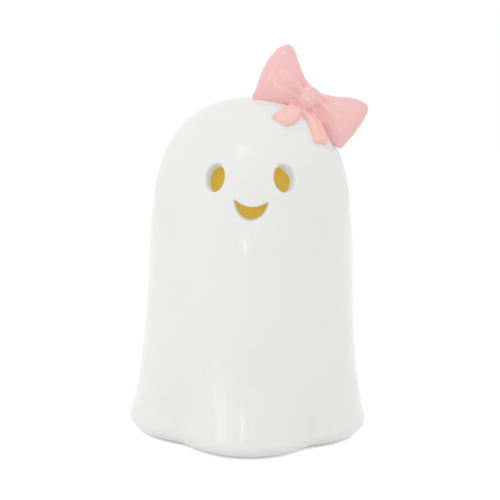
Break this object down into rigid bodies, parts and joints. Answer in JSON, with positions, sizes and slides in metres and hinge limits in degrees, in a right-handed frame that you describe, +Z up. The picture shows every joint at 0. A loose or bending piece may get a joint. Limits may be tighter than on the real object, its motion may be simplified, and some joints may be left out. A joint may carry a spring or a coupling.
{
  "type": "light-up ghost",
  "caption": "Hollow glazed ceramic ghost with a cut-out face, draped hem and pink bow, standing over a plug-in battery light unit with a frosted dome.",
  "frame": {"origin": "on the table, under the middle of the hem's footprint", "axes": "+Z up, the face looks along -Y, +X is the ghost's left, where the bow sits"},
  "size_m": [0.1236, 0.1214, 0.1972],
  "materials": {
    "white_glaze": "smooth high-gloss clear glaze over white body",
    "pink_glaze": "glossy pink glaze",
    "amber_film": "translucent matte film, golden yellow",
    "pad_foam": "closed-cell foam, matte",
    "unit_plastic": "fine moulded texture",
    "soft_ring": "matte silicone",
    "frosted_plastic": "frosted, translucent",
    "board_green": "solder mask, semi-gloss",
    "lamp_resin": "clear warm-white lamp resin",
    "black_plastic": "moulded, matte",
    "plated_steel": "nickel-plated",
    "cell_jacket": "shrink-wrapped jacket with bare metal ends",
    "red_insulation": "smooth insulation",
    "black_insulation": "smooth insulation"
  },
  "bodies": {
    "light_unit": {"base_housing": "unit_plastic", "grip_ring": "soft_ring", "top_cap": "unit_plastic", "diffuser_dome": "frosted_plastic", "lamp_board": "board_green", "board_resistor": "black_plastic", "lamp_1": "lamp_resin", "lamp_2": "lamp_resin", "lamp_3": "lamp_resin", "cap_screw_1": "plated_steel", "cap_screw_2": "plated_steel", "cap_screw_3": "plated_steel", "cell_1": "cell_jacket", "cell_2": "cell_jacket", "positive_contact": "plated_steel", "negative_contact": "plated_steel", "link_contact": "plated_steel", "switch_body": "plated_steel", "red_wire": "red_insulation", "black_wire": "black_insulation", "switch_wire": "black_insulation"},
    "ghost": {"ghost_shell": "white_glaze", "bow": "pink_glaze", "face_film": "amber_film", "foot_pad_1": "pad_foam", "foot_pad_2": "pad_foam", "foot_pad_3": "pad_foam", "foot_pad_4": "pad_foam", "foot_pad_5": "pad_foam"},
    "battery_door": {"battery_door": "unit_plastic", "door_screw": "plated_steel"},
    "switch": {"switch_slider": "black_plastic"}
  },
  "joints": [
    {"name": "ghost_lift", "type": "slide", "parent": "light_unit", "child": "ghost", "axis": [0, 0, 1], "range_m": [0, 0.08]},
    {"name": "battery_door_hinge", "type": "hinge", "parent": "light_unit", "child": "battery_door", "pos_m": [-0.02695, -0.00061, 0.002], "axis": [0, 1, 0], "range_deg": [0, 65]},
    {"name": "switch_slide", "type": "slide", "parent": "light_unit", "child": "switch", "axis": [1, 0, 0], "range_m": [0, 0.003]}
  ]
}
